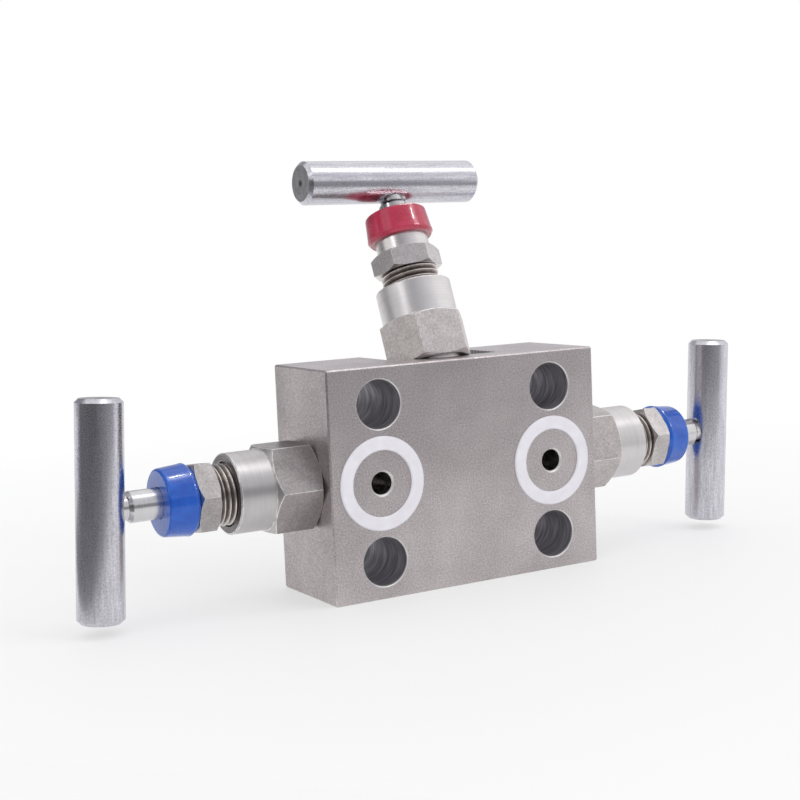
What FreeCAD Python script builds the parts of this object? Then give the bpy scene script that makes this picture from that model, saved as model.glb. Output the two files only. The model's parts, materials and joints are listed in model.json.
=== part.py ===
import FreeCAD, Part
import os
import re

import Sketcher
from FreeCAD import Vector

# A three-valve manifold that bolts between a flow line and a differential pressure transmitter.
# One bar of stainless steel holds the two instrument ports, the two process ports and three needle
# valves: a block valve at each end and an equalizing valve leaning back on a floor milled in the top.
#
# Millimetres, +Z up. The origin is the middle of the instrument face, between its two ports, and the
# block lies behind it along +Y. A valve piece is drawn once about its own axis: station 0 is the face
# of the block that the bonnet seats on, and stations run outwards from it.

SIZES = {
    # Block
    "block_width": 84.0,
    "block_height": 61.0,
    "block_depth": 30.0,
    "block_edge_break": 0.4,
    # Flange pattern, the same on the instrument face and on the process face
    "bolt_spacing_across": 54.0,
    "bolt_spacing_up": 41.3,
    "bolt_hole": 13.0,
    "bolt_hole_break": 0.3,
    "port_spacing": 54.0,
    "port_bore": 6.0,
    "port_mouth_break": 0.5,
    "instrument_port_depth": 12.0,
    "process_port_depth": 4.0,
    # Sealing ring round each instrument port, and its groove
    "ring_outside": 24.8,
    "ring_inside": 17.4,
    "ring_thickness": 2.0,
    "ring_edge_break": 0.3,
    "ring_groove_depth": 1.5,
    "ring_clearance": 0.05,
    # Drilled passages
    "process_passage": 4.0,
    "process_passage_run": 10.0,
    "equalizing_passage": 3.0,
    "equalizing_passage_rise": 1.5,
    "drill_point_angle": 118.0,
    # Floor for the equalizing valve, milled in the top and open at the back
    "floor_width": 32.0,
    "floor_tilt": 21.5,
    "equalizing_seat_back": 16.0,
    "equalizing_seat_drop": 2.65,
    "equalizing_offset": -1.0,
    # Valve cavity in the block
    "chamber_bore": 8.0,
    "chamber_length": 7.0,
    "orifice_bore": 4.5,
    "orifice_length": 8.0,
    "cavity_mouth_break": 0.5,
    # Bonnet
    "bonnet_thread": 18.0,
    "bonnet_reach": 10.5,
    "bonnet_thread_break": 0.8,
    "bonnet_hex_flats": 22.0,
    "bonnet_hex_length": 12.9,
    "bonnet_hex_face": 21.6,
    "collar_diameter": 21.0,
    "collar_length": 9.8,
    "collar_edge_break": 0.35,
    "collar_mouth_bore": 16.9,
    "collar_mouth_depth": 2.0,
    "back_seat_land": 4.7,
    "packing_bore": 13.0,
    "packing_box_length": 6.0,
    "bonnet_seal_thickness": 1.0,
    "bonnet_seal_inside": 11.0,
    # Packing and gland
    "washer_thickness": 1.0,
    "packing_length": 4.0,
    "bushing_length": 2.0,
    "gland_thread": 16.0,
    "gland_thread_length": 10.2,
    "gland_thread_break": 0.6,
    "gland_hex_flats": 17.0,
    "gland_hex_length": 5.6,
    "gland_hex_face": 17.2,
    "boss_diameter": 14.8,
    "boss_length": 6.4,
    "boss_edge_break": 0.5,
    "hex_corner_angle": 30.0,
    # Dust cap
    "cap_length": 7.8,
    "cap_end_diameter": 17.2,
    "cap_body_diameter": 18.3,
    "cap_rim_diameter": 17.3,
    "cap_bead_diameter": 18.7,
    "cap_bead_height": 0.9,
    "cap_bead_slope": 1.0,
    "cap_end_wall": 1.0,
    "cap_edge_radius": 0.8,
    "cap_bead_radius": 0.5,
    "cap_stem_gap": 0.1,
    # Stem, needle tip and T-bar
    "stem_diameter": 8.0,
    "stem_thread": 10.0,
    "stem_thread_length": 11.0,
    "stem_thread_break": 0.5,
    "stem_shoulder_break": 1.0,
    "stem_neck": 6.4,
    "button_diameter": 4.2,
    "button_length": 1.4,
    "button_neck": 3.0,
    "button_neck_length": 3.2,
    "button_end_gap": 0.15,
    "tip_diameter": 6.0,
    "tip_body_length": 4.5,
    "tip_lip_length": 1.3,
    "tip_cavity_depth": 3.05,
    "tip_cone_angle": 30.0,
    "tip_point_diameter": 0.8,
    "tip_back_break": 0.3,
    "bar_diameter": 12.0,
    "bar_length": 55.2,
    "bar_end_break": 1.0,
    "bar_standoff": 6.8,
    "bar_shoulder_gap": 0.35,
    "bar_hole_depth": 8.0,
    "bar_counterbore": 8.2,
    "bar_counterbore_depth": 0.6,
    # Fits, all on the radius
    "thread_clearance": 0.05,
    "running_clearance": 0.05,
    "seal_clearance": 0.1,
    "press_clearance": 0.05,
    "button_clearance": 0.1,
    "back_seat_gap": 0.1,
    # Valve travel, and how far each valve stands short of full opening
    "full_lift": 4.2,
    "left_short_of_open": 0.4,
    "right_short_of_open": 1.2,
    "equalizing_short_of_open": 1.6,
    # How far each cap stands off its gland hexagon
    "left_cap_gap": 0.2,
    "right_cap_gap": 0.0,
    "equalizing_cap_gap": 4.1,
    # How each hexagon and bar was left turned about its own valve
    "left_bonnet_angle": 0.3,
    "right_bonnet_angle": 11.7,
    "equalizing_bonnet_angle": -36.3,
    "left_gland_angle": 7.3,
    "right_gland_angle": -11.3,
    "equalizing_gland_angle": -52.2,
    "left_bar_angle": 1.0,
    "right_bar_angle": 1.3,
    "equalizing_bar_angle": 1.1,
    # How far each bar stands out of square with its stem, its hole being drilled at that slant
    "left_bar_tilt": -3.6,
    "right_bar_tilt": -2.0,
    "equalizing_bar_tilt": 0.0,
}

# Stations and radii that follow from the sizes, as formulas
CAVITY_DEPTH = "(bonnet_reach + bonnet_seal_thickness)"
SEAT = f"(-{CAVITY_DEPTH} - chamber_length)"
TIP_SHOULDER = f"({SEAT} + (tip_diameter - orifice_bore) / 2 / tan(tip_cone_angle))"
TIP_BACK = f"({TIP_SHOULDER} + tip_body_length)"
BUTTON_END = f"({TIP_BACK} - tip_cavity_depth + button_end_gap)"
BUTTON_TOP = f"({BUTTON_END} + button_length)"
THREAD_START = f"({BUTTON_TOP} + button_neck_length)"
THREAD_END = f"({THREAD_START} + stem_thread_length)"
BACK_CONE = "(stem_thread / 2 - stem_diameter / 2)"
BACK_SEAT = f"({THREAD_END} + full_lift + back_seat_gap)"
PACKING_FLOOR = f"({BACK_SEAT} + {BACK_CONE} + back_seat_land)"
PACKING_TOP = f"({PACKING_FLOOR} + washer_thickness + packing_length)"
GLAND_END = f"({PACKING_TOP} + bushing_length)"
GLAND_HEX = f"({GLAND_END} + gland_thread_length)"
BOSS = f"({GLAND_HEX} + gland_hex_length)"
BOSS_END = f"({BOSS} + boss_length)"
BONNET_END = "(bonnet_hex_length + collar_length)"
BAR_UNDERSIDE = f"({BOSS_END} + bar_standoff)"
STEM_SHOULDER = f"({BAR_UNDERSIDE} - bar_shoulder_gap)"
STEM_HOLE = "(stem_diameter / 2 + running_clearance)"
STEM_THREAD_BORE = "(stem_thread / 2 + thread_clearance)"
EQUALIZING_SEAT_UP = "(block_height / 2 - equalizing_seat_drop)"

# Each valve's name, the middle of its seat on the block, and the axis and angle that lean it over
VALVES = {
    "left": (("-block_width / 2", "block_depth / 2", "0"), ("0", "1", "0"), "-90"),
    "right": (("block_width / 2", "block_depth / 2", "0"), ("0", "1", "0"), "90"),
    "equalizing": (
        ("equalizing_offset", "equalizing_seat_back", EQUALIZING_SEAT_UP),
        ("1", "0", "0"),
        "-floor_tilt",
    ),
}

doc = FreeCAD.newDocument("valve_manifold")
sheet = doc.addObject("Spreadsheet::Sheet", "sizes")
for row, (alias, size) in enumerate(SIZES.items(), start=1):
    sheet.set(f"A{row}", alias.replace("_", " "))
    sheet.set(f"B{row}", str(size))
    sheet.setAlias(f"B{row}", alias)
doc.recompute()


def formula(text):
    """The text with each size's name turned into a reference to its cell."""
    return re.sub(r"[a-z_]+", lambda word: f"sizes.{word[0]}" if word[0] in SIZES else word[0], text)


def number(text):
    """What a formula comes to now."""
    return float(doc.sizes.evalExpression(formula(text)))


def vector_formula(x, y, z):
    return f"vector({x}; {y}; {z})"


def new_body(name):
    body = doc.addObject("PartDesign::Body", name)
    body.Label = name
    return body


def outline(body, name, corners, start=("0", "0", "0"), aim=("0", "0", "1")):
    """A closed outline of (radius, distance) corners. Distance runs from the start along the aim."""
    sketch = body.newObject("Sketcher::SketchObject", name)
    ground = next(item for item in body.Origin.OriginFeatures if item.Role == "XY_Plane")
    sketch.AttachmentSupport = (ground, [""])
    sketch.MapMode = "FlatFace"
    along_x, along_y, along_z = aim
    reach = f"sqrt(({along_x})^2 + ({along_y})^2 + ({along_z})^2)"
    heading = f"rotation(vector(0; 0; 1); -atan2({along_x}; {along_y}))"
    climb = f"rotation(vector(1; 0; 0); asin(({along_z}) / {reach}))"
    place = f"placement({vector_formula(*start)}; {heading} * {climb})"
    sketch.setExpression("AttachmentOffset", formula(place))
    draw_corners(sketch, corners)
    return sketch


def draw_corners(sketch, corners):
    """Joins the corners with lines and holds each one at its two formulas."""
    points = [Vector(number(across), number(along), 0) for across, along in corners]
    for index, point in enumerate(points):
        sketch.addGeometry(Part.LineSegment(point, points[(index + 1) % len(points)]), False)
    for index in range(len(points)):
        following = (index + 1) % len(points)
        sketch.addConstraint(Sketcher.Constraint("Coincident", index, 2, following, 1))
    for index, (across, along) in enumerate(corners):
        hold(sketch, "DistanceX", f"across_{index}", index, across)
        hold(sketch, "DistanceY", f"along_{index}", index, along)


def hold(sketch, kind, name, index, text):
    """Fixes one coordinate of a corner, measured from the sketch's origin."""
    constraint = sketch.addConstraint(Sketcher.Constraint(kind, -1, 1, index, 1, number(text)))
    sketch.renameConstraint(constraint, name)
    sketch.setExpression(f"Constraints.{name}", formula(text))


def turn_solid(body, name, corners, start=("0", "0", "0"), aim=("0", "0", "1")):
    """Adds a turned form to the body."""
    sketch = outline(body, name + "_outline", corners, start, aim)
    feature = body.newObject("PartDesign::Revolution", name)
    feature.Profile = sketch
    feature.ReferenceAxis = (sketch, ["V_Axis"])
    feature.Angle = 360.0
    return feature


def turn_away(body, name, corners, start=("0", "0", "0"), aim=("0", "0", "1")):
    """Cuts a turned form out of the body."""
    sketch = outline(body, name + "_outline", corners, start, aim)
    feature = body.newObject("PartDesign::Groove", name)
    feature.Profile = sketch
    feature.ReferenceAxis = (sketch, ["V_Axis"])
    feature.Angle = 360.0
    return feature


def drilled(radius, depth):
    """Corners of a blind drilled hole, with its drill point."""
    point = f"({radius}) / tan(drill_point_angle / 2)"
    return [("0", "0"), (radius, "0"), (radius, depth), ("0", f"{depth} + {point}")]


def hexagon(body, name, flats, face, low, length):
    """A hexagonal prism whose corners are turned off at both ends."""
    corner_radius = f"{flats} / 2 / cos(30)"
    corners = [
        (f"{corner_radius} * cos({60 * side})", f"{corner_radius} * sin({60 * side})") for side in range(6)
    ]
    sketch = body.newObject("Sketcher::SketchObject", name + "_outline")
    ground = next(item for item in body.Origin.OriginFeatures if item.Role == "XY_Plane")
    sketch.AttachmentSupport = (ground, [""])
    sketch.MapMode = "FlatFace"
    sketch.setExpression("AttachmentOffset.Base.z", formula(low))
    draw_corners(sketch, corners)
    prism = body.newObject("PartDesign::Pad", name)
    prism.Profile = sketch
    prism.setExpression("Length", formula(length))
    outside = f"({flats} / 2 / cos(30) * 1.1)"
    drop = f"({outside} - {face} / 2) * tan(hex_corner_angle)"
    for end, station, way in (("low", low, "1"), ("high", f"{low} + {length}", "-1")):
        corners = [(f"{face} / 2", "0"), (outside, "0"), (outside, drop)]
        turn_away(body, f"{name}_{end}_corners", corners, ("0", "0", station), ("0", "0", way))


def round_rims(body, name, rims, size):
    """Rounds the body's circular edges of the given radii and stations."""
    doc.recompute()
    base = body.Tip
    found = []
    for index, edge in enumerate(base.Shape.Edges, start=1):
        if not isinstance(edge.Curve, Part.Circle):
            continue
        for radius, station in rims:
            beside = abs(edge.Curve.Radius - number(radius)) + abs(edge.Curve.Center.z - number(station))
            if beside < 0.001:
                found.append(f"Edge{index}")
    if len(found) != len(rims):
        raise RuntimeError(f"{name}: {len(found)} rims found for {len(rims)}")
    fillet = body.newObject("PartDesign::Fillet", name)
    fillet.Base = (base, found)
    fillet.setExpression("Radius", formula(size))


def put_on_valve(body, valve, station="0", turn="0"):
    """Places a piece at a station of its valve, turned about the valve's axis."""
    seat, lean_axis, lean_angle = VALVES[valve]
    lean = f"placement({vector_formula(*seat)}; rotation({vector_formula(*lean_axis)}; {lean_angle}))"
    spin = f"placement(vector(0; 0; {station}); rotation(vector(0; 0; 1); {turn} - 90))"
    body.setExpression("Placement", formula(f"{lean} * {spin}"))


def rest_lift(valve):
    return f"(full_lift - {valve}_short_of_open)"


def make_block():
    """The block, sawn from bar, then drilled, bored and milled."""
    body = new_body("manifold_block")
    sketch = body.newObject("Sketcher::SketchObject", "block_outline")
    front = next(item for item in body.Origin.OriginFeatures if item.Role == "XZ_Plane")
    sketch.AttachmentSupport = (front, [""])
    sketch.MapMode = "FlatFace"
    half_width = "block_width / 2"
    half_height = "block_height / 2"
    corners = [
        (f"-{half_width}", f"-{half_height}"),
        (half_width, f"-{half_height}"),
        (half_width, half_height),
        (f"-{half_width}", half_height),
    ]
    draw_corners(sketch, corners)
    blank = body.newObject("PartDesign::Pad", "block_blank")
    blank.Profile = sketch
    blank.Reversed = True
    blank.setExpression("Length", formula("block_depth"))
    doc.recompute()
    edges = body.newObject("PartDesign::Chamfer", "block_edges")
    edges.Base = (blank, [f"Edge{index + 1}" for index in range(len(blank.Shape.Edges))])
    edges.setExpression("Size", formula("block_edge_break"))
    mill_floor(body)
    for side, across in (("left", "-1"), ("right", "1")):
        drill_bolt_holes(body, side, across)
        cut_ports(body, side, across)
    for valve in VALVES:
        cut_valve_cavity(body, valve)
    drill_equalizing_passages(body)
    return body


def mill_floor(body):
    """The tilted floor under the equalizing valve. It runs out on the top and is open at the back."""
    sketch = body.newObject("Sketcher::SketchObject", "floor_outline")
    side = next(item for item in body.Origin.OriginFeatures if item.Role == "YZ_Plane")
    sketch.AttachmentSupport = (side, [""])
    sketch.MapMode = "FlatFace"
    top = "(block_height / 2 + block_edge_break)"
    back = "(block_depth + block_edge_break)"
    run_out = f"equalizing_seat_back - ({top} - {EQUALIZING_SEAT_UP}) / tan(floor_tilt)"
    low = f"{EQUALIZING_SEAT_UP} - ({back} - equalizing_seat_back) * tan(floor_tilt)"
    draw_corners(sketch, [(run_out, top), (back, low), (back, top)])
    slot = body.newObject("PartDesign::Pocket", "equalizing_floor")
    slot.Profile = sketch
    slot.Midplane = True
    slot.setExpression("Length", formula("floor_width"))


def drill_bolt_holes(body, side, across):
    """The through holes of the flange pattern on one side, one above the other."""
    wide = "bolt_hole / 2 + bolt_hole_break"
    corners = [
        ("0", "0"),
        (wide, "0"),
        ("bolt_hole / 2", "bolt_hole_break"),
        ("bolt_hole / 2", "block_depth - bolt_hole_break"),
        (wide, "block_depth"),
        ("0", "block_depth"),
    ]
    for level, up in (("upper", "1"), ("lower", "-1")):
        start = (f"{across} * bolt_spacing_across / 2", "0", f"{up} * bolt_spacing_up / 2")
        turn_away(body, f"{side}_{level}_bolt_hole", corners, start, ("0", "1", "0"))


def cut_ports(body, side, across):
    """The instrument port with its ring groove, and the process port with its passage to the seat."""
    middle = f"{across} * port_spacing / 2"
    mouth = [("0", "0"), ("port_bore / 2 + port_mouth_break", "0"), ("port_bore / 2", "port_mouth_break")]
    into_block = ("0", "1", "0")
    front = (middle, "0", "0")
    bore = mouth + drilled("port_bore / 2", "instrument_port_depth")[2:]
    turn_away(body, f"{side}_instrument_port", bore, front, into_block)
    inner = "ring_inside / 2 - ring_clearance"
    outer = "ring_outside / 2 + ring_clearance"
    groove = [(inner, "0"), (outer, "0"), (outer, "ring_groove_depth"), (inner, "ring_groove_depth")]
    turn_away(body, f"{side}_ring_groove", groove, front, into_block)
    back = (middle, "block_depth", "0")
    bore = mouth + drilled("port_bore / 2", "process_port_depth")[2:]
    turn_away(body, f"{side}_process_port", bore, back, ("0", "-1", "0"))
    to_orifice = (f"-({across}) * process_passage_run", "-block_depth / 2", "0")
    length = "sqrt(process_passage_run^2 + (block_depth / 2)^2)"
    passage = drilled("process_passage / 2", length)
    turn_away(body, f"{side}_process_passage", passage, back, to_orifice)


def cut_valve_cavity(body, valve):
    """The bore for the bonnet, the chamber round the needle and the orifice that the needle shuts."""
    bore = "(bonnet_thread / 2 + thread_clearance)"
    orifice_end = f"-{SEAT} + orifice_length"
    corners = [
        ("0", "0"),
        (f"{bore} + cavity_mouth_break", "0"),
        (bore, "cavity_mouth_break"),
        (bore, CAVITY_DEPTH),
        ("chamber_bore / 2", CAVITY_DEPTH),
        ("chamber_bore / 2", f"-{SEAT}"),
        ("orifice_bore / 2", f"-{SEAT}"),
        ("orifice_bore / 2", orifice_end),
        ("0", f"{orifice_end} + orifice_bore / 2 / tan(drill_point_angle / 2)"),
    ]
    inward = {
        "left": ("1", "0", "0"),
        "right": ("-1", "0", "0"),
        "equalizing": ("0", "-sin(floor_tilt)", "-cos(floor_tilt)"),
    }
    turn_away(body, f"{valve}_cavity", corners, VALVES[valve][0], inward[valve])


def drill_equalizing_passages(body):
    """The cross drillings that join the two instrument ports through the equalizing valve's seat."""
    radius = "equalizing_passage / 2"
    foot = f"(-{SEAT} + orifice_length)"
    foot_back = f"equalizing_seat_back - {foot} * sin(floor_tilt)"
    foot_up = f"{EQUALIZING_SEAT_UP} - {foot} * cos(floor_tilt)"
    left_start = ("-port_spacing / 2", foot_back, foot_up)
    left_length = "port_spacing / 2 + equalizing_offset"
    turn_away(body, "left_equalizing_passage", drilled(radius, left_length), left_start, ("1", "0", "0"))
    level = f"({CAVITY_DEPTH} + chamber_length / 2)"
    right_start = ("port_spacing / 2", "instrument_port_depth / 2", "equalizing_passage_rise")
    aim = (
        "equalizing_offset - port_spacing / 2",
        f"equalizing_seat_back - {level} * sin(floor_tilt) - instrument_port_depth / 2",
        f"{EQUALIZING_SEAT_UP} - {level} * cos(floor_tilt) - equalizing_passage_rise",
    )
    length = f"sqrt(({aim[0]})^2 + ({aim[1]})^2 + ({aim[2]})^2) - chamber_bore / 4"
    turn_away(body, "right_equalizing_passage", drilled(radius, length), right_start, aim)


def make_port_ring(side, across):
    """The sealing ring that stands slightly proud of the instrument face."""
    body = new_body(f"{side}_port_ring")
    inner = "ring_inside / 2"
    outer = "ring_outside / 2"
    corners = [
        (inner, "0"),
        (outer, "0"),
        (outer, "ring_thickness - ring_edge_break"),
        (f"{outer} - ring_edge_break", "ring_thickness"),
        (f"{inner} + ring_edge_break", "ring_thickness"),
        (inner, "ring_thickness - ring_edge_break"),
    ]
    turn_solid(body, f"{side}_ring", corners)
    base = f"vector({across} * port_spacing / 2; ring_groove_depth; 0)"
    body.setExpression("Placement", formula(f"placement({base}; rotation(vector(1; 0; 0); 90))"))
    return body


def make_bonnet(valve):
    """The bonnet: a hexagon with a thread below, and a turned collar that holds the packing above."""
    body = new_body(f"{valve}_bonnet")
    name = f"{valve}_bonnet"
    hexagon(body, name + "_hexagon", "bonnet_hex_flats", "bonnet_hex_face", "0", "bonnet_hex_length")
    thread = "bonnet_thread / 2"
    collar = "collar_diameter / 2"
    corners = [
        ("0", "-bonnet_reach"),
        (f"{thread} - bonnet_thread_break", "-bonnet_reach"),
        (thread, "-bonnet_reach + bonnet_thread_break"),
        (thread, "bonnet_hex_length / 2"),
        (collar, "bonnet_hex_length / 2"),
        (collar, f"{BONNET_END} - collar_edge_break"),
        (f"{collar} - collar_edge_break", BONNET_END),
        ("0", BONNET_END),
    ]
    turn_solid(body, name + "_turning", corners)
    gland_bore = "(gland_thread / 2 + thread_clearance)"
    corners = [
        ("0", "-bonnet_reach"),
        (STEM_THREAD_BORE, "-bonnet_reach"),
        (STEM_THREAD_BORE, BACK_SEAT),
        (STEM_HOLE, f"{BACK_SEAT} + {STEM_THREAD_BORE} - {STEM_HOLE}"),
        (STEM_HOLE, PACKING_FLOOR),
        ("packing_bore / 2", PACKING_FLOOR),
        ("packing_bore / 2", f"{PACKING_FLOOR} + packing_box_length"),
        (gland_bore, f"{PACKING_FLOOR} + packing_box_length"),
        (gland_bore, f"{BONNET_END} - collar_mouth_depth"),
        ("collar_mouth_bore / 2", f"{BONNET_END} - collar_mouth_depth"),
        ("collar_mouth_bore / 2", BONNET_END),
        ("0", BONNET_END),
    ]
    turn_away(body, name + "_bore", corners)
    put_on_valve(body, valve, turn=f"{valve}_bonnet_angle")
    return body


def make_ring(valve, piece, inner, outer, low, length):
    """A plain turned ring round the valve's axis."""
    body = new_body(f"{valve}_{piece}")
    high = f"({length})"
    turn_solid(body, f"{valve}_{piece}_ring", [(inner, "0"), (outer, "0"), (outer, high), (inner, high)])
    put_on_valve(body, valve, low)
    return body


def make_seals(valve):
    """The ring under the bonnet, and the washer, packing and bushing that the gland bolt presses."""
    seal_outside = "bonnet_thread / 2 + thread_clearance - seal_clearance"
    boxed = "packing_bore / 2 - running_clearance"
    return [
        make_ring(
            valve,
            "bonnet_seal",
            "bonnet_seal_inside / 2",
            seal_outside,
            f"-{CAVITY_DEPTH}",
            "bonnet_seal_thickness",
        ),
        make_ring(valve, "packing_washer", STEM_HOLE, boxed, PACKING_FLOOR, "washer_thickness"),
        make_ring(
            valve, "packing", STEM_HOLE, boxed, f"{PACKING_FLOOR} + washer_thickness", "packing_length"
        ),
        make_ring(valve, "thrust_bushing", STEM_HOLE, boxed, PACKING_TOP, "bushing_length"),
    ]


def make_gland_bolt(valve):
    """The hollow bolt that squeezes the packing, with the boss that carries the dust cap."""
    body = new_body(f"{valve}_gland_bolt")
    name = f"{valve}_gland"
    hexagon(body, name + "_hexagon", "gland_hex_flats", "gland_hex_face", GLAND_HEX, "gland_hex_length")
    thread = "gland_thread / 2"
    boss = "boss_diameter / 2"
    corners = [
        (STEM_HOLE, GLAND_END),
        (f"{thread} - gland_thread_break", GLAND_END),
        (thread, f"{GLAND_END} + gland_thread_break"),
        (thread, f"{GLAND_HEX} + gland_hex_length / 2"),
        (boss, f"{GLAND_HEX} + gland_hex_length / 2"),
        (boss, f"{BOSS_END} - boss_edge_break"),
        (f"{boss} - boss_edge_break", BOSS_END),
        (STEM_HOLE, BOSS_END),
    ]
    turn_solid(body, name + "_turning", corners)
    length = f"{BOSS_END} - {GLAND_END}"
    corners = [("0", "0"), (STEM_HOLE, "0"), (STEM_HOLE, length), ("0", length)]
    turn_away(body, name + "_bore", corners, ("0", "0", GLAND_END))
    put_on_valve(body, valve, turn=f"{valve}_gland_angle")
    return body


def make_dust_cap(valve):
    """The moulded cap that grips the gland bolt's boss, with a bead round its open rim."""
    body = new_body(f"{valve}_dust_cap")
    cavity = "boss_diameter / 2 + press_clearance"
    bead = "cap_bead_diameter / 2"
    stem_hole = "stem_diameter / 2 + cap_stem_gap"
    corners = [
        (cavity, "0"),
        ("cap_rim_diameter / 2", "0"),
        (bead, "cap_bead_height"),
        ("cap_body_diameter / 2", "cap_bead_height + cap_bead_slope"),
        ("cap_end_diameter / 2", "cap_length"),
        (stem_hole, "cap_length"),
        (stem_hole, "cap_length - cap_end_wall"),
        (cavity, "cap_length - cap_end_wall"),
    ]
    turn_solid(body, f"{valve}_cap_moulding", corners)
    round_rims(body, f"{valve}_cap_end_edge", [("cap_end_diameter / 2", "cap_length")], "cap_edge_radius")
    round_rims(body, f"{valve}_cap_bead_edge", [(bead, "cap_bead_height")], "cap_bead_radius")
    put_on_valve(body, valve, f"{BOSS} + {valve}_cap_gap")
    return body


def make_stem(valve):
    """The stem, drawn with the valve shut. Its button carries the needle tip, its neck the T-bar."""
    body = new_body(f"{valve}_stem")
    button = "button_diameter / 2"
    neck = "button_neck / 2"
    thread = "stem_thread / 2"
    shank = "stem_diameter / 2"
    corners = [
        ("0", BUTTON_END),
        (button, BUTTON_END),
        (button, BUTTON_TOP),
        (neck, BUTTON_TOP),
        (neck, THREAD_START),
        (f"{thread} - stem_thread_break", THREAD_START),
        (thread, f"{THREAD_START} + stem_thread_break"),
        (thread, THREAD_END),
        (shank, f"{THREAD_END} + {BACK_CONE}"),
        (shank, f"{STEM_SHOULDER} - stem_shoulder_break"),
        ("stem_neck / 2", STEM_SHOULDER),
        ("stem_neck / 2", f"{BAR_UNDERSIDE} + bar_hole_depth"),
        ("0", f"{BAR_UNDERSIDE} + bar_hole_depth"),
    ]
    turn_solid(body, f"{valve}_stem_turning", corners)
    put_on_valve(body, valve, rest_lift(valve))
    return body


def make_needle_tip(valve):
    """The cone that shuts the orifice. It is closed over the stem's button and does not turn with it."""
    body = new_body(f"{valve}_needle_tip")
    side = "tip_diameter / 2"
    point = "tip_point_diameter / 2"
    lip = "button_neck / 2 + button_clearance"
    cavity = "button_diameter / 2 + button_clearance"
    corners = [
        ("0", f"{TIP_SHOULDER} - ({side} - {point}) / tan(tip_cone_angle)"),
        (point, f"{TIP_SHOULDER} - ({side} - {point}) / tan(tip_cone_angle)"),
        (side, TIP_SHOULDER),
        (side, f"{TIP_BACK} - tip_back_break"),
        (f"{side} - tip_back_break", TIP_BACK),
        (lip, TIP_BACK),
        (lip, f"{TIP_BACK} - tip_lip_length"),
        (cavity, f"{TIP_BACK} - tip_lip_length"),
        (cavity, f"{TIP_BACK} - tip_cavity_depth"),
        ("0", f"{TIP_BACK} - tip_cavity_depth"),
    ]
    turn_solid(body, f"{valve}_tip_turning", corners)
    put_on_valve(body, valve, rest_lift(valve))
    return body


def make_t_bar(valve):
    """The bar that turns the stem, cross drilled for the stem's neck."""
    body = new_body(f"{valve}_t_bar")
    side = "bar_diameter / 2"
    corners = [
        ("0", "0"),
        (f"{side} - bar_end_break", "0"),
        (side, "bar_end_break"),
        (side, "bar_length - bar_end_break"),
        (f"{side} - bar_end_break", "bar_length"),
        ("0", "bar_length"),
    ]
    slant = (f"cos({valve}_bar_tilt)", "0", f"sin({valve}_bar_tilt)")
    start = (f"-bar_length / 2 * {slant[0]}", "0", f"-bar_length / 2 * {slant[2]}")
    turn_solid(body, f"{valve}_bar_turning", corners, start, slant)
    hole = "(stem_neck / 2 + press_clearance)"
    counterbore = "bar_counterbore / 2"
    corners = [
        ("0", "0"),
        (counterbore, "0"),
        (counterbore, "bar_counterbore_depth"),
        (hole, f"bar_counterbore_depth + {counterbore} - {hole}"),
        (hole, "bar_hole_depth"),
        ("0", "bar_hole_depth"),
    ]
    turn_away(body, f"{valve}_bar_hole", corners, ("0", "0", f"-{side}"))
    put_on_valve(body, valve, f"{BAR_UNDERSIDE} + {side} + {rest_lift(valve)}", f"{valve}_bar_angle + 90")
    return body


pieces = [make_block(), make_port_ring("left", "-1"), make_port_ring("right", "1")]
for valve in VALVES:
    pieces.append(make_bonnet(valve))
    pieces.extend(make_seals(valve))
    pieces.append(make_gland_bolt(valve))
    pieces.append(make_dust_cap(valve))
    pieces.append(make_stem(valve))
    pieces.append(make_needle_tip(valve))
    pieces.append(make_t_bar(valve))
doc.recompute()

for item in doc.Objects:
    if {"Invalid", "Error"} & set(item.State):
        raise RuntimeError(f"{item.Name} failed: {item.State}")
for piece in pieces:
    if piece.Shape.isNull() or not piece.Shape.isValid() or len(piece.Shape.Solids) != 1:
        raise RuntimeError(f"{piece.Label} is not one sound solid")

os.makedirs("parts", exist_ok=True)
for piece in pieces:
    piece.Shape.exportStep(os.path.join("parts", piece.Label + ".step"))
    print(piece.Label, round(piece.Shape.Volume, 1), "mm3")
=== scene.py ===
import json
import math

import bmesh
import bpy
from mathutils import Matrix, Vector

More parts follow.
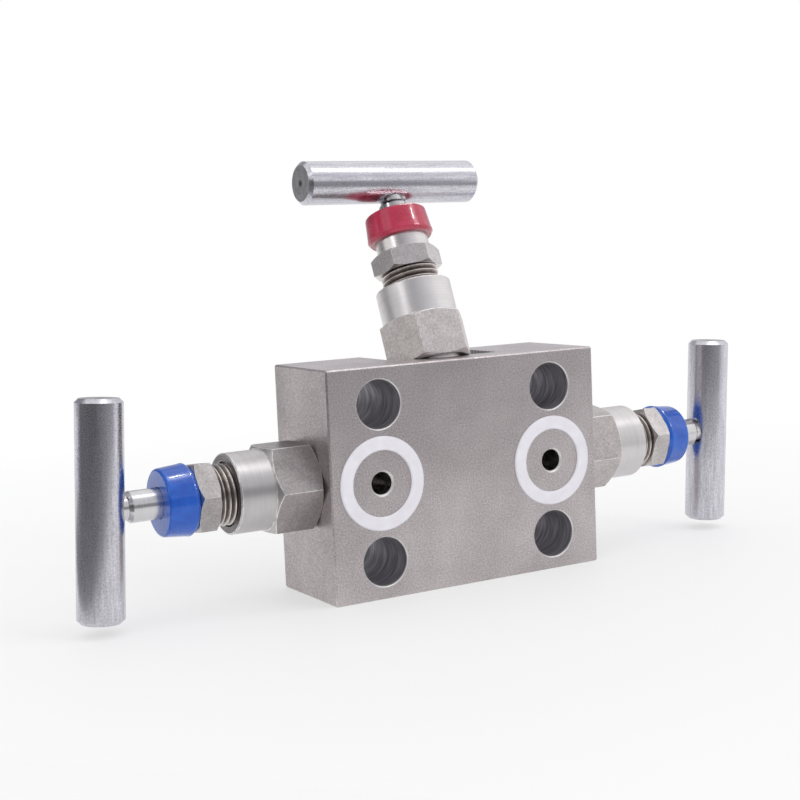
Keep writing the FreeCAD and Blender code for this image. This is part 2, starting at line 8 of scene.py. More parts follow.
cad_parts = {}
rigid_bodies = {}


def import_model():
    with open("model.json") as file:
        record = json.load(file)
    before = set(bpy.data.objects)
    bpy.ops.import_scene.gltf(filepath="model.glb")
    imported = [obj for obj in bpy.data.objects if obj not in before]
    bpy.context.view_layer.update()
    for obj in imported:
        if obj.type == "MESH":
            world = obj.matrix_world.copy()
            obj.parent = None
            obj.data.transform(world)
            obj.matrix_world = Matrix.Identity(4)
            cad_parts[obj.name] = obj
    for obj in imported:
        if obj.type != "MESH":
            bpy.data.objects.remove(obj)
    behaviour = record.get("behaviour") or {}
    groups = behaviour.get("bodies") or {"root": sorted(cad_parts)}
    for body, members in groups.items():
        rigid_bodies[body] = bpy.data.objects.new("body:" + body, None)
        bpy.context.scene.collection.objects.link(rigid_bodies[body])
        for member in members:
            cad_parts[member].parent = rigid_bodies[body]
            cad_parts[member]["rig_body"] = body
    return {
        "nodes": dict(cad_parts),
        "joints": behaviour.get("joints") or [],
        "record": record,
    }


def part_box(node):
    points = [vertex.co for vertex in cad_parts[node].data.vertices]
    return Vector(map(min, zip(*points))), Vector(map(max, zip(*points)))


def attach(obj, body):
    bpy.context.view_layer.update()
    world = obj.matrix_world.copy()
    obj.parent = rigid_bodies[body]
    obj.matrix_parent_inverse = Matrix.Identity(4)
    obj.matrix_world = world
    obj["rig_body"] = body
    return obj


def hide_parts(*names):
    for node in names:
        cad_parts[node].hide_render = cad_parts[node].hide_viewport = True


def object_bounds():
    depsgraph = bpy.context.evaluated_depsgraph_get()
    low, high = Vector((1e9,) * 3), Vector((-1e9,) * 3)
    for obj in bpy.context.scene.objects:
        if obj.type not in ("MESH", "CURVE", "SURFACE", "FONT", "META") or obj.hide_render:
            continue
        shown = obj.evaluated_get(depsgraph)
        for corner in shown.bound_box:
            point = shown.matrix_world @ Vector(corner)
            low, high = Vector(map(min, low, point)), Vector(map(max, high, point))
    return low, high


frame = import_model()
cad_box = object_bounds()

# The manifold block. It is one length of stainless steel bar, sawn off, milled flat on all sides and
# blasted to an even matt grey. The bolt holes and ports are bored through it and their mouths are
# countersunk, and a tilted floor for the middle valve is milled in the top, open at the back.
MM = 0.001
WELD = 0.001 * MM
FLAT_TURN = math.radians(0.6)
SHARP_TURN = math.radians(27)
mounts = {mount["name"]: mount for mount in frame["record"]["mounts"]}
hinges = {joint["name"]: joint for joint in frame["joints"] if joint["type"] == "hinge"}


def new_object(name, data):
    """An object with this data, in the scene."""
    made = bpy.data.objects.new(name, data)
    bpy.context.scene.collection.objects.link(made)
    return made


def joined_copy(node):
    """A CAD node's shape with its loose triangles joined into whole faces."""
    shape = bmesh.new()
    shape.from_mesh(frame["nodes"][node].data)
    bmesh.ops.remove_doubles(shape, verts=shape.verts, dist=WELD)
    bmesh.ops.dissolve_limit(shape, angle_limit=FLAT_TURN, verts=shape.verts, edges=shape.edges)
    return shape


def finished_piece(shape, name, materials):
    """The shape as an object, smooth across shallow edges, with flats kept flat beside worn faces."""
    worn = shape.faces.layers.float.get("worn")
    for face in shape.faces:
        face.smooth = True
    for edge in shape.edges:
        edge.smooth = len(edge.link_faces) == 2 and edge.calc_face_angle() < SHARP_TURN
        if worn and edge.smooth:
            first, second = edge.link_faces
            edge.smooth = first[worn] == second[worn]
    mesh = bpy.data.meshes.new(name)
    shape.to_mesh(mesh)
    shape.free()
    for material in materials:
        mesh.materials.append(material)
    return new_object(name, mesh)


def stand_for(piece, node):
    """The piece takes the CAD node's place and body, and the node is hidden."""
    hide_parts(node)
    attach(piece, frame["nodes"][node]["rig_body"])


def add(tree, kind, inputs=(), **settings):
    """A node in the tree, with its settings, values and links."""
    made = tree.nodes.new(kind)
    for name, value in settings.items():
        setattr(made, name, value)
    for name, value in dict(inputs).items():
        if isinstance(value, bpy.types.NodeSocket):
            tree.links.new(value, made.inputs[name])
        else:
            made.inputs[name].default_value = value
    return made


def maths(tree, operation, first, second=0.0, third=0.0):
    """One step of arithmetic on up to three values."""
    made = add(tree, "ShaderNodeMath", {0: first, 1: second, 2: third}, operation=operation)
    return made.outputs[0]


def mixed(tree, first, second, share):
    """Two masks in one, with this share of the first."""
    rest = maths(tree, "MULTIPLY", second, 1 - share)
    return maths(tree, "MULTIPLY_ADD", first, share, rest)


def vector_maths(tree, operation, first, second=(0, 0, 0)):
    """One step of arithmetic on up to two vectors."""
    return add(tree, "ShaderNodeVectorMath", {0: first, 1: second}, operation=operation).outputs[0]


def between(tree, mask, low, high):
    """A colour that goes from low to high with the mask. The node's colour sockets are its 6 and 7."""
    made = add(tree, "ShaderNodeMix", data_type="RGBA")
    for socket, value in ((made.inputs[0], mask), (made.inputs[6], low), (made.inputs[7], high)):
        if isinstance(value, bpy.types.NodeSocket):
            tree.links.new(value, socket)
        else:
            socket.default_value = (*value, 1.0)
    return made.outputs[2]


def span(tree, value, low, high, to_low=0.0, to_high=1.0):
    """The value, spread from one range to another and held inside it."""
    inputs = {0: value, 1: low, 2: high, 3: to_low, 4: to_high}
    return add(tree, "ShaderNodeMapRange", inputs).outputs[0]


def toned(tree, mask, spread, tones):
    """The colour that the mask gives, from the dark tone to the light one over its spread."""
    dark, light = tones
    return between(tree, span(tree, mask, *spread), dark, light)


def dulled(tree, mask, spread, dull, smooth):
    """The roughness that the mask gives, from dull to smooth over its spread."""
    return span(tree, mask, *spread, dull, smooth)


def bump(tree, height, depth):
    """A normal that follows the height, whose full range stands for the depth."""
    return add(tree, "ShaderNodeBump", {"Height": height, "Distance": depth}).outputs[0]


def noise(tree, place, detail, scale=1.0):
    """An even mottle at a place."""
    inputs = {"Vector": place, "Scale": scale, "Detail": detail}
    return add(tree, "ShaderNodeTexNoise", inputs).outputs["Fac"]


def tool_marks(tree, place, marks_per_metre, detail):
    """The lines that a tool leaves: a mottle with a fineness of its own along each axis."""
    fine = add(tree, "ShaderNodeMapping", {"Vector": place, "Scale": marks_per_metre}).outputs[0]
    return noise(tree, fine, detail)


def object_place(tree):
    """Where a point lies on the object."""
    return add(tree, "ShaderNodeTexCoord").outputs["Object"]


def finish(name, metallic=1.0, **constants):
    """A new material with its shader's plain values set."""
    material = bpy.data.materials.new(name)
    material.use_nodes = True
    tree = material.node_tree
    shader = tree.nodes["Principled BSDF"]
    shader.inputs["Metallic"].default_value = metallic
    for socket, value in constants.items():
        shader.inputs[socket.replace("_", " ")].default_value = value
    return material, tree, shader


def feed(tree, shader, **results):
    """Links what changes over the surface to the shader's sockets."""
    for socket, result in results.items():
        tree.links.new(result, shader.inputs[socket.replace("_", " ")])


def new_effect(name, inputs, outputs):
    """An empty node group with its sockets, for an effect that several finishes share."""
    group = bpy.data.node_groups.new(name, "ShaderNodeTree")
    for socket, kind, value in inputs:
        made = group.interface.new_socket(socket, in_out="INPUT", socket_type=kind)
        if value is not None:
            made.default_value = value
    for socket in outputs:
        group.interface.new_socket(socket, in_out="OUTPUT", socket_type="NodeSocketFloat")
    return group, add(group, "NodeGroupInput").outputs, add(group, "NodeGroupOutput").inputs


def place_on(effect, tree, inputs):
    """An effect's group set in a finish, with its values."""
    return add(tree, "ShaderNodeGroup", inputs, node_tree=effect).outputs


def make_grain_effect():
    """The mottle of a blasted or milled face: a cloudy tone with a finer pitting in it."""
    group, given, result = new_effect(
        "metal_grain",
        [
            ("Place", "NodeSocketVector", None),
            ("Cloud Size", "NodeSocketFloat", 6 * MM),
            ("Pit Size", "NodeSocketFloat", 0.5 * MM),
        ],
        ["Cloud", "Pits"],
    )
    for socket, size, detail in (("Cloud", "Cloud Size", 3.0), ("Pits", "Pit Size", 4.0)):
        scale = maths(group, "DIVIDE", 1.0, given[size])
        inputs = {"Vector": given["Place"], "Scale": scale, "Detail": detail, "Roughness": 0.62}
        mottle = add(group, "ShaderNodeTexNoise", inputs)
        group.links.new(mottle.outputs["Fac"], result[socket])
    return group


def make_box_edge_effect():
    """How near a point lies to an edge of a box: 1 on the edge, 0 a width away and less beyond."""
    group, given, result = new_effect(
        "box_edges",
        [
            ("Place", "NodeSocketVector", None),
            ("Low", "NodeSocketVector", None),
            ("High", "NodeSocketVector", None),
            ("Width", "NodeSocketFloat", 1 * MM),
        ],
        ["Edge"],
    )
    to_low = vector_maths(group, "SUBTRACT", given["Place"], given["Low"])
    to_high = vector_maths(group, "SUBTRACT", given["High"], given["Place"])
    gaps = vector_maths(group, "MINIMUM", to_low, to_high)
    across, along, up = add(group, "ShaderNodeSeparateXYZ", {0: gaps}).outputs
    nearer = maths(group, "MINIMUM", across, along)
    farther = maths(group, "MAXIMUM", across, along)
    second = maths(group, "MAXIMUM", nearer, maths(group, "MINIMUM", farther, up))
    share = maths(group, "DIVIDE", second, given["Width"])
    group.links.new(maths(group, "SUBTRACT", 1.0, share), result["Edge"])
    return group


metal_grain = make_grain_effect()
box_edges = make_box_edge_effect()


def grain_on(tree, place, cloud, pits):
    """The metal's mottle at a place, with the sizes of its clouds and pits."""
    return place_on(metal_grain, tree, {"Place": place, "Cloud Size": cloud, "Pit Size": pits})


# A mottle's middle values, which a finish spreads from dark to light: the fewer, the more contrast.
SOFT = (0.30, 0.70)
EVEN = (0.35, 0.65)
CRISP = (0.38, 0.62)
BLOCK_TONES = ((0.40, 0.365, 0.37), (0.68, 0.625, 0.63))
BLOCK_NICKED = (0.84, 0.81, 0.80)
# The block's edges are bright where their nearness and the mottle of nicks add up to this spread.
NICKED_WIDTH = 0.65 * MM
NICK_SIZE = 2.4 * MM
NICK_STRENGTH = 1.1
NICK_SPREAD = (1.22, 1.5)
NICK_POLISH = 0.15
BORED_TONES = ((0.36, 0.345, 0.37), (0.60, 0.585, 0.62))
BORED_MARKS_PER_METRE = (120, 1100, 120)
COUNTERSUNK_TONES = ((0.82, 0.80, 0.79), (0.94, 0.93, 0.92))
REAMED_TONES = ((0.46, 0.43, 0.42), (0.74, 0.71, 0.70))
REAMED_MARKS_PER_METRE = (200, 900, 200)
# The milled floor's tones are dark as painted shade: the slot lies in the shadow of the upper bonnet.
MILLED_PAINTED_SHADE_TONES = ((0.16, 0.15, 0.148), (0.30, 0.285, 0.28))
MILLED_ARCS = {"Scale": 260.0, "Distortion": 1.5, "Detail": 2.0, "Detail Scale": 40.0}


def make_block_finish():
    """Blasted grey faces with fine pits, and bright nicked edges."""
    material, tree, shader = finish("blasted_block_steel")
    place = object_place(tree)
    grain = grain_on(tree, place, cloud=22 * MM, pits=0.45 * MM)
    low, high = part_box("manifold_block")
    bounds = {"Low": tuple(low), "High": tuple(high), "Width": NICKED_WIDTH}
    edges = place_on(box_edges, tree, {"Place": place, **bounds})
    nicks = noise(tree, place, detail=4.0, scale=1 / NICK_SIZE)
    worn = span(tree, maths(tree, "MULTIPLY_ADD", nicks, NICK_STRENGTH, edges["Edge"]), *NICK_SPREAD)
    tone = mixed(tree, grain["Cloud"], grain["Pits"], share=0.3)
    rough = dulled(tree, tone, EVEN, dull=0.46, smooth=0.36)
    feed(
        tree,
        shader,
        Base_Color=between(tree, worn, toned(tree, tone, CRISP, BLOCK_TONES), BLOCK_NICKED),
        Roughness=maths(tree, "SUBTRACT", rough, maths(tree, "MULTIPLY", worn, NICK_POLISH)),
        Normal=bump(tree, grain["Pits"], depth=0.012 * MM),
    )
    return material


def make_bored_finish():
    """The wall of a bored hole, ringed by the tool and darker than the faces."""
    material, tree, shader = finish("bored_steel")
    rings = tool_marks(tree, object_place(tree), BORED_MARKS_PER_METRE, detail=3.0)
    feed(
        tree,
        shader,
        Base_Color=toned(tree, rings, EVEN, BORED_TONES),
        Roughness=dulled(tree, rings, SOFT, dull=0.70, smooth=0.56),
        Normal=bump(tree, rings, depth=0.03 * MM),
    )
    return material


def make_countersunk_finish():
    """A countersink or chamfer, cut bright."""
    material, tree, shader = finish("countersunk_steel")
    grain = grain_on(tree, object_place(tree), cloud=2 * MM, pits=0.4 * MM)
    feed(
        tree,
        shader,
        Base_Color=between(tree, grain["Cloud"], *COUNTERSUNK_TONES),
        Roughness=dulled(tree, grain["Pits"], SOFT, dull=0.62, smooth=0.50),
    )
    return material


def make_reamed_finish():
    """The smooth wall of a port, reamed to size, which is dark but for a few glints."""
    material, tree, shader = finish("reamed_port_steel")
    rings = tool_marks(tree, object_place(tree), REAMED_MARKS_PER_METRE, detail=2.0)
    feed(
        tree,
        shader,
        Base_Color=toned(tree, rings, EVEN, REAMED_TONES),
        Roughness=dulled(tree, rings, SOFT, dull=0.34, smooth=0.22),
    )
    return material


def make_milled_floor_finish():
    """The milled floor and its walls, with the arcs that the cutter left, painted dark as painted shade
    for the shadow in the slot.
    """
    material, tree, shader = finish("milled_floor_steel_painted_shade")
    place = object_place(tree)
    inputs = {"Vector": place, **MILLED_ARCS}
    wave = add(tree, "ShaderNodeTexWave", inputs, wave_type="RINGS", rings_direction="Z")
    arcs = wave.outputs["Fac"]
    grain = grain_on(tree, place, cloud=5 * MM, pits=0.4 * MM)
    tone = mixed(tree, arcs, grain["Cloud"], share=0.35)
    feed(
        tree,
        shader,
        Base_Color=toned(tree, tone, SOFT, MILLED_PAINTED_SHADE_TONES),
        Roughness=dulled(tree, grain["Pits"], SOFT, dull=0.46, smooth=0.34),
        Normal=bump(tree, arcs, depth=0.01 * MM),
    )
    return material


def bored_holes():
    """Where each hole's middle lies in the two faces, and its radius, from the mounts."""
    flange = mounts["instrument_flange"]["dims"]
    holes = []
    for side in (-1, 1):
        for level in (-1, 1):
            across = side * flange["spacing_x_mm"] / 2 * MM
            up = level * flange["spacing_y_mm"] / 2 * MM
            holes.append((across, up, flange["hole_r_mm"] * MM))
    for side in ("left", "right"):
        port = mounts[f"{side}_instrument_port"]
        holes.append((port["pos_m"][0], port["pos_m"][2], port["dims"]["r_mm"] * MM))
    return holes


# How far a face's normal may turn to the front in a hole's wall and in its countersunk mouth, and how
# closely the slot's walls and its floor face their own ways.
WALL_TO_FRONT = 0.3
MOUTH_TO_FRONT = 0.9
SLOT_WALL_TO_SIDE = 0.9
FLOOR_TO_VALVE = 0.99
MOUTH_WIDTH = 0.7 * MM
LARGEST_PORT = 4 * MM
BLASTED, BORED, COUNTERSUNK, MILLED, REAMED = range(5)


def sort_block_faces(shape):
    """Gives each face of the block the finish of the tool that cut it."""
    floor_normal = Vector(hinges["equalizing_valve_turn"]["axis"])
    low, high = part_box("manifold_block")
    holes = bored_holes()
    for face in shape.faces:
        middle = face.calc_center_median()
        to_front = abs(face.normal.y)
        for across, up, radius in holes:
            reach = math.hypot(middle.x - across, middle.z - up)
            if reach < radius + MOUTH_WIDTH and to_front < MOUTH_TO_FRONT:
                wall = BORED if radius > LARGEST_PORT else REAMED
                face.material_index = wall if to_front < WALL_TO_FRONT else COUNTERSUNK
        inside = low.x + MOUTH_WIDTH < middle.x < high.x - MOUTH_WIDTH and middle.z > high.z / 2
        to_side = abs(face.normal.x) > SLOT_WALL_TO_SIDE
        slot_wall = inside and to_side and face.material_index == BLASTED
        if face.normal.dot(floor_normal) > FLOOR_TO_VALVE or slot_wall:
            face.material_index = MILLED


block_finishes = {
    BLASTED: make_block_finish(),
    BORED: make_bored_finish(),
    COUNTERSUNK: make_countersunk_finish(),
    MILLED: make_milled_floor_finish(),
    REAMED: make_reamed_finish(),
}
block_shape = joined_copy("manifold_block")
sort_block_faces(block_shape)
block = finished_piece(block_shape, "manifold_block_finished", block_finishes.values())
stand_for(block, "manifold_block")

# The sealing rings. Each is a flat ring of white fluoropolymer, turned from tube and pressed into the
# groove round an instrument port, where it stands half a millimetre proud of the face.
RING_TONES = ((0.82, 0.80, 0.85), (0.88, 0.86, 0.92))


def make_ring_finish():
    """Smooth white fluoropolymer with a faint cloud in it."""
    material, tree, shader = finish("white_fluoropolymer", metallic=0.0)
    grain = grain_on(tree, object_place(tree), cloud=5 * MM, pits=0.3 * MM)
    feed(
        tree,
        shader,
        Base_Color=toned(tree, grain["Cloud"], EVEN, RING_TONES),
        Roughness=dulled(tree, grain["Pits"], SOFT, dull=0.50, smooth=0.36),
        Normal=bump(tree, grain["Pits"], depth=0.008 * MM),
    )
    return material


ring_white = make_ring_finish()
for side in ("left", "right"):
    ring_shape = joined_copy(f"{side}_port_ring")
    ring = finished_piece(ring_shape, f"{side}_port_ring_finished", [ring_white])
    stand_for(ring, f"{side}_port_ring")

# The bonnets. Each is turned from stainless hexagon bar and screwed into the block: the hexagon takes
# the spanner, and the collar above it holds the packing. The flats keep the matt skin of the bar, the
# collar shows the lathe tool's fine rings, and handling has worn the corners bright.
VALVES = ("left", "right", "equalizing")
# Each valve's bonnet and gland bolt are painted darker or lighter than the others' as painted light and
# shade: the equalizing valve's lighter and the left valve's darker.
PAINTED_LIGHT_BY_VALVE = {"left": 0.80, "right": 1.08, "equalizing": 1.33}
BONNET_TURNED_TONES = ((0.60, 0.575, 0.58), (0.69, 0.665, 0.67))
BONNET_FLATS_TONES = ((0.41, 0.38, 0.37), (0.58, 0.54, 0.535))
BONNET_BREAK = 0.3 * MM
# The collar's faced end is painted dark as painted shade, far darker than the same steel on the collar's
# side.
COLLAR_END_PAINTED_SHADE_TONES = ((0.20, 0.19, 0.19), (0.30, 0.285, 0.285))
CORNER_TONES = ((0.62, 0.585, 0.57), (0.95, 0.93, 0.92))
CORNER_SPREAD = (0.36, 0.56)
FLATS_SPREAD = (0.39, 0.61)
FLATS_UNEVEN = 0.06
TURNED_UNEVEN = 0.05
# How much the lathe's rings change for each radian round the piece.
RING_DRIFT = 0.35


def place_of_valve(valve):
    """Takes a point from the valve's own axes, with Z outward from the block's face, to the object's."""
    hinge = hinges[f"{valve}_valve_turn"]
    outward = Vector(hinge["axis"]).normalized()
    across = outward.orthogonal().normalized()
    turned = Matrix((across, outward.cross(across), outward)).transposed().to_4x4()
    return Matrix.Translation(hinge["pos_m"]) @ turned


valve_place = {valve: place_of_valve(valve) for valve in VALVES}
into_valve = {valve: place.inverted() for valve, place in valve_place.items()}
outward_of = {valve: place.col[2].to_3d() for valve, place in valve_place.items()}


def mark_points(piece, mark, place_of):
    """Stores a place for each of the piece's points, where its finish reads it."""
    marks = piece.data.attributes.new(mark, "FLOAT_VECTOR", "POINT")
    for vertex, stored in zip(piece.data.vertices, marks.data):
        stored.vector = place_of(vertex.co)


def mark_turning(piece, valve):
    """Marks the piece with its points' places on its own valve's axes."""
    mark_points(piece, "turning", lambda point: into_valve[valve] @ point)


def marked_place(tree, mark):
    """The place that a piece's points were marked with."""
    return add(tree, "ShaderNodeAttribute", attribute_name=mark).outputs["Vector"]


def distance_out(tree, across, along):
    """How far from its axis a point lies, from its two distances beside it."""
    squares = maths(tree, "MULTIPLY_ADD", across, across, maths(tree, "MULTIPLY", along, along))
    return maths(tree, "SQRT", squares)


def break_edges(shape, size):
    """Rounds the sharp edges and marks the new faces as worn."""
    worn = shape.faces.layers.float.new("worn")
    sharp = [
        edge for edge in shape.edges if len(edge.link_faces) == 2 and edge.calc_face_angle() > SHARP_TURN
    ]
    made = bmesh.ops.bevel(
        shape, geom=sharp, offset=size, segments=2, profile=0.5, affect="EDGES", clamp_overlap=True
    )
    for face in made["faces"]:
        face[worn] = 1.0


def make_turning_effect():
    """The rings that a lathe tool leaves round a piece, a pitch apart on its side and on its ends."""
    sockets = [("Place", "NodeSocketVector", None), ("Pitch", "NodeSocketFloat", 0.2 * MM)]
    group, given, result = new_effect("lathe_rings", sockets, ["Rings"])
    across, along, station = add(group, "ShaderNodeSeparateXYZ", {0: given["Place"]}).outputs
    reach = distance_out(group, across, along)
    scale = maths(group, "DIVIDE", 1.0, given["Pitch"])
    step = maths(group, "MULTIPLY", maths(group, "ADD", station, reach), scale)
    around = maths(group, "MULTIPLY", maths(group, "ARCTAN2", along, across), RING_DRIFT)
    spot = add(group, "ShaderNodeCombineXYZ", {0: step, 1: around, 2: reach}).outputs[0]
    group.links.new(noise(group, spot, detail=2.0), result["Rings"])
    return group


lathe_rings = make_turning_effect()


def make_flats_finish(name, tones, roughness):
    """The spanner flats: the matt, slightly cloudy skin of the bar."""
    material, tree, shader = finish(name)
    grain = grain_on(tree, marked_place(tree, "turning"), cloud=4 * MM, pits=0.55 * MM)
    tone = mixed(tree, grain["Cloud"], grain["Pits"], share=0.35)
    dull = roughness + FLATS_UNEVEN
    smooth = roughness - FLATS_UNEVEN
    feed(
        tree,
        shader,
        Base_Color=toned(tree, tone, FLATS_SPREAD, tones),
        Roughness=dulled(tree, tone, EVEN, dull, smooth),
        Normal=bump(tree, grain["Pits"], depth=0.02 * MM),
    )
    return material


def make_turned_finish(name, tones, roughness, pitch):
    """A surface turned on the lathe, with fine rings round it."""
    material, tree, shader = finish(name)
    place = marked_place(tree, "turning")
    rings = place_on(lathe_rings, tree, {"Place": place, "Pitch": pitch})["Rings"]
    grain = grain_on(tree, place, cloud=5 * MM, pits=0.5 * MM)
    tone = mixed(tree, rings, grain["Cloud"], share=0.6)
    dull = roughness + TURNED_UNEVEN
    smooth = roughness - TURNED_UNEVEN
    feed(
        tree,
        shader,
        Base_Color=toned(tree, tone, EVEN, tones),
        Roughness=dulled(tree, tone, SOFT, dull, smooth),
        Normal=bump(tree, rings, depth=0.003 * MM),
    )
    return material


def make_worn_corner_finish():
    """A corner rubbed bright by spanners and handling, broken by small nicks."""
    material, tree, shader = finish("worn_corner_steel")
    grain = grain_on(tree, marked_place(tree, "turning"), cloud=1.5 * MM, pits=0.4 * MM)
    feed(
        tree,
        shader,
        Base_Color=toned(tree, grain["Cloud"], CORNER_SPREAD, CORNER_TONES),
        Roughness=dulled(tree, grain["Pits"], SOFT, dull=0.50, smooth=0.38),
    )
    return material


def skin_painted_light(tones, valve):
    """The matt skin's tones, made lighter or darker for this valve as painted light and shade."""
    return [[share * PAINTED_LIGHT_BY_VALVE[valve] for share in tone] for tone in tones]


def turned_painted_light(tones, valve):
    """The same painted light and shade on the turned metal, half as strong."""
    return [[share * (1 + PAINTED_LIGHT_BY_VALVE[valve]) / 2 for share in tone] for tone in tones]


# What tells a spanner flat from other upright faces, and a faced end from other faces.
UPRIGHT = 0.1
FLAT_LEAST_AREA = (3 * MM) ** 2
FLAT_LEAST_REACH = 8 * MM
END_TO_OUTWARD = 0.9
SAME_LENGTH = 10 * WELD
TURNED, FLATS, WORN, COLLAR_END = range(4)


def sort_hexagon_faces(shape, valve):
    """Finds the flats and the worn edges. All else is as the lathe cut it."""
    worn = shape.faces.layers.float["worn"]
    for face in shape.faces:
        middle = into_valve[valve] @ face.calc_center_median()
        reach = math.hypot(middle.x, middle.y)
        upright = abs(face.normal.dot(outward_of[valve])) < UPRIGHT
        if upright and face.calc_area() > FLAT_LEAST_AREA and reach > FLAT_LEAST_REACH:
            face.material_index = FLATS
        elif face[worn]:
            face.material_index = WORN


def sort_collar_end(shape, valve):
    """Finds the collar's faced end, where the gland bolt goes in."""
    worn = shape.faces.layers.float["worn"]
    end = max((into_valve[valve] @ vertex.co).z for vertex in shape.verts)
    for face in shape.faces:
        at_end = end - (into_valve[valve] @ face.calc_center_median()).z < SAME_LENGTH
        if at_end and face.normal.dot(outward_of[valve]) > END_TO_OUTWARD and not face[worn]:
            face.material_index = COLLAR_END


worn_corner = make_worn_corner_finish()
# The collar's faced end: turned steel painted dark, as painted shade.
collar_end = make_turned_finish(
    "faced_collar_end_steel_painted_shade", COLLAR_END_PAINTED_SHADE_TONES, roughness=0.42, pitch=0.25 * MM
)
# Each valve's bonnet finishes are lit and shaded copies of one finish, as painted light and shade.
for valve in VALVES:
    tones = turned_painted_light(BONNET_TURNED_TONES, valve)
    turned = make_turned_finish(f"{valve}_turned_bonnet_steel", tones, roughness=0.36, pitch=0.25 * MM)
    tones = skin_painted_light(BONNET_FLATS_TONES, valve)
    flats = make_flats_finish(f"{valve}_bonnet_hexagon_steel", tones, roughness=0.38)
    bonnet_finishes = {TURNED: turned, FLATS: flats, WORN: worn_corner, COLLAR_END: collar_end}
    shape = joined_copy(f"{valve}_bonnet")
    break_edges(shape, BONNET_BREAK)
    sort_hexagon_faces(shape, valve)
    sort_collar_end(shape, valve)
    bonnet = finished_piece(shape, f"{valve}_bonnet_finished", bonnet_finishes.values())
    mark_turning(bonnet, valve)
    stand_for(bonnet, f"{valve}_bonnet")

# The gland bolts. Each is a hollow bolt turned from stainless hexagon bar, screwed down into the collar
# on the packing. Its coarse thread shows between the collar and the hexagon, its roots painted dark as
# painted shade, and the round boss above the hexagon carries the dust cap.
GLAND_PITCH = 1.5 * MM
GLAND_THREAD_LENGTH = 10.2 * MM
GLAND_CREST = 8.0 * MM
GLAND_ROOT = 7.15 * MM
GLAND_CORE = 6.6 * MM
GLAND_BREAK = 0.2 * MM
SLEEVE_OVERLAP = 0.3 * MM
# A crest and a root are each flat for this share of the pitch on both sides of their middle.
HALF_CREST = 0.07
THREAD_PROFILE_POINTS = 220
THREAD_STEPS_ROUND = 72
GLAND_TURNED_TONES = ((0.58, 0.555, 0.555), (0.68, 0.655, 0.655))
GLAND_FLATS_TONES = ((0.42, 0.39, 0.385), (0.58, 0.55, 0.55))
# The thread's roots are painted dark as painted shade; the crests keep the steel's own tone.
THREAD_ROOT_SHADE = (0.13, 0.105, 0.09)
THREAD_CREST = (0.74, 0.69, 0.66)
SHADE_MOTTLE_SIZE = 1 / 900
SHADE_MOTTLE_DEPTH = 0.5


def make_thread_finish():
    """Bright crests over roots painted dark as painted shade, the shade broken up by a fine mottle."""
    material, tree, shader = finish("thread_steel_painted_root_shade")
    place = marked_place(tree, "turning")
    across, along, station = add(tree, "ShaderNodeSeparateXYZ", {0: place}).outputs
    crest = span(tree, distance_out(tree, across, along), GLAND_ROOT, GLAND_CREST)
    shade_mottle = noise(tree, place, detail=2.0, scale=1 / SHADE_MOTTLE_SIZE)
    middle = maths(tree, "SUBTRACT", crest, SHADE_MOTTLE_DEPTH / 2)
    out_of_shade = maths(tree, "MULTIPLY_ADD", shade_mottle, SHADE_MOTTLE_DEPTH, middle)
    feed(
        tree,
        shader,
        Base_Color=between(tree, out_of_shade, THREAD_ROOT_SHADE, THREAD_CREST),
        Roughness=dulled(tree, out_of_shade, (0.0, 1.0), dull=0.42, smooth=0.24),
    )
    return material


def make_thread_tree(material):
    """A threaded sleeve about the Z axis: a closed tube whose outside rises and falls along a helix."""
    tree = bpy.data.node_groups.new("gland_thread", "GeometryNodeTree")
    tree.interface.new_socket("Geometry", in_out="INPUT", socket_type="NodeSocketGeometry")
    tree.interface.new_socket("Geometry", in_out="OUTPUT", socket_type="NodeSocketGeometry")
    for name in ("Crest Radius", "Root Radius", "Core Radius", "Pitch", "Length"):
        tree.interface.new_socket(name, in_out="INPUT", socket_type="NodeSocketFloat")
    given = add(tree, "NodeGroupInput").outputs
    wall = maths(tree, "SUBTRACT", given["Root Radius"], given["Core Radius"])
    sizes = {"Width": wall, "Height": given["Length"]}
    box = add(tree, "GeometryNodeCurvePrimitiveQuadrilateral", sizes).outputs[0]
    points = {"Curve": box, "Count": THREAD_PROFILE_POINTS}
    section = add(tree, "GeometryNodeResampleCurve", points).outputs[0]
    middle = maths(tree, "MULTIPLY_ADD", wall, 0.5, given["Core Radius"])
    circle = {"Resolution": THREAD_STEPS_ROUND, "Radius": middle}
    path = add(tree, "GeometryNodeCurvePrimitiveCircle", circle).outputs[0]
    sleeve = add(tree, "GeometryNodeCurveToMesh", {"Curve": path, "Profile Curve": section}).outputs[0]
    place = add(tree, "GeometryNodeInputPosition").outputs[0]
    across, along, station = add(tree, "ShaderNodeSeparateXYZ", {0: place}).outputs
    outside = maths(tree, "GREATER_THAN", distance_out(tree, across, along), middle)
    turns = maths(tree, "DIVIDE", maths(tree, "ARCTAN2", along, across), math.tau)
    climb = maths(tree, "SUBTRACT", maths(tree, "DIVIDE", station, given["Pitch"]), turns)
    wave = maths(tree, "PINGPONG", climb, 0.5)
    tooth = span(tree, wave, HALF_CREST, 0.5 - HALF_CREST)
    depth = maths(tree, "SUBTRACT", given["Crest Radius"], given["Root Radius"])
    rise = maths(tree, "MULTIPLY", maths(tree, "MULTIPLY", tooth, depth), outside)
    from_axis = add(tree, "ShaderNodeCombineXYZ", {0: across, 1: along}).outputs[0]
    aim = vector_maths(tree, "NORMALIZE", from_axis)
    offset = add(tree, "ShaderNodeVectorMath", {0: aim, "Scale": rise}, operation="SCALE").outputs[0]
    shaped = add(tree, "GeometryNodeSetPosition", {"Geometry": sleeve, "Offset": offset}).outputs[0]
    whole = add(tree, "GeometryNodeRealizeInstances", {"Geometry": shaped}).outputs[0]
    painted = add(tree, "GeometryNodeSetMaterial", {"Geometry": whole, "Material": material})
    add(tree, "NodeGroupOutput", {"Geometry": painted.outputs[0]})
    return tree


